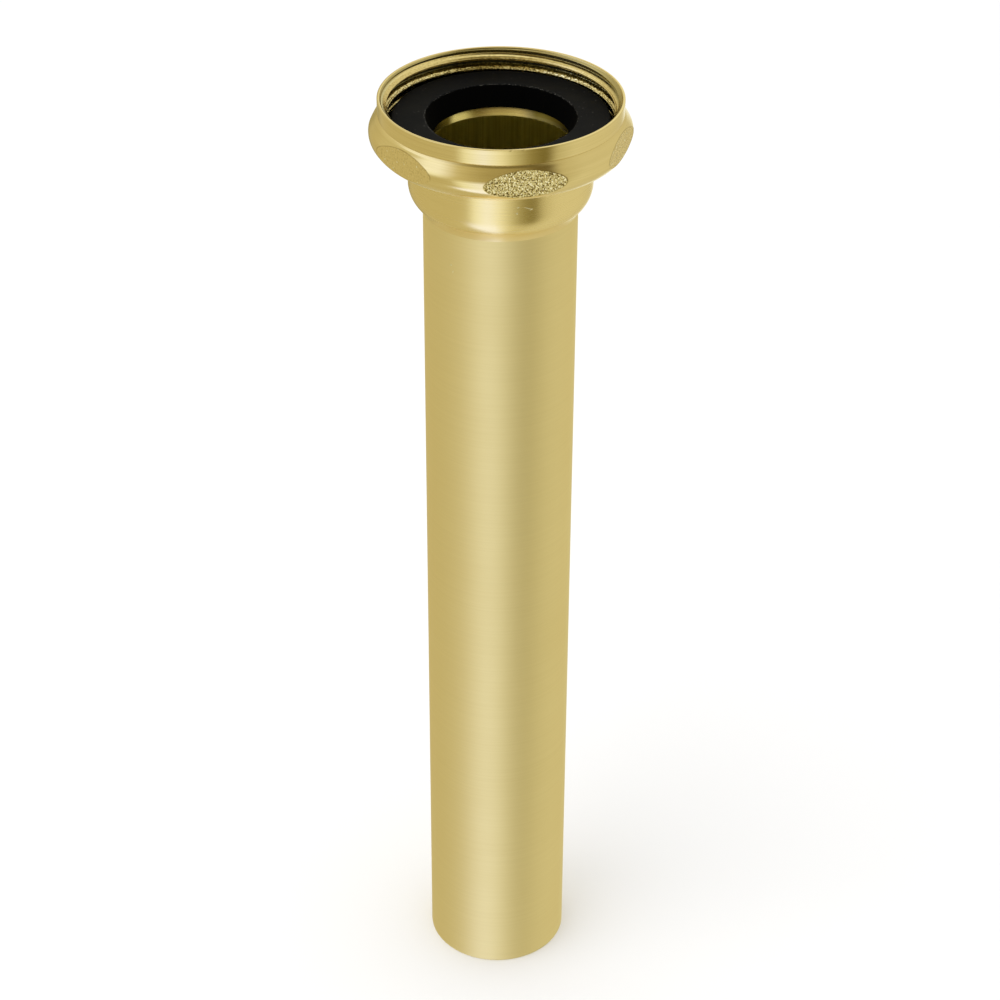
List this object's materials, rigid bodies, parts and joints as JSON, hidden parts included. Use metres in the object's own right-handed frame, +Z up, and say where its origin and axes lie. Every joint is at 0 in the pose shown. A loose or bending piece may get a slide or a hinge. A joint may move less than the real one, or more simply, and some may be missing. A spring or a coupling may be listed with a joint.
{
  "type": "basin waste tail pipe",
  "caption": "Straight brass tail tube with a brazed flanged collar, a loose union nut and a flat rubber washer, for joining a basin waste to a trap.",
  "frame": {"origin": "centre of the tube's cut lower end, on its axis", "axes": "+Z up along the tube, towards the nut; +X to the right and +Y away, as the picture shows it"},
  "size_m": [0.0536, 0.0532, 0.2202],
  "materials": {
    "tube_brass": "drawn, satin",
    "collar_brass": "turned",
    "nut_brass": "turned rim, cast flats with a fine grain",
    "washer_rubber": "matt"
  },
  "bodies": {
    "tail": {"tail_tube": "tube_brass", "flanged_collar": "collar_brass"},
    "washer": {"sealing_washer": "washer_rubber"},
    "nut": {"union_nut": "nut_brass"}
  },
  "joints": [
    {"name": "nut_spin", "type": "hinge", "parent": "tail", "child": "washer", "pos_m": [0, 0, 0.2115], "axis": [0, 0, 1], "continuous": true},
    {"name": "nut_slide", "type": "slide", "parent": "washer", "child": "nut", "axis": [0, 0, 1], "range_m": [-0.208, 0]}
  ]
}
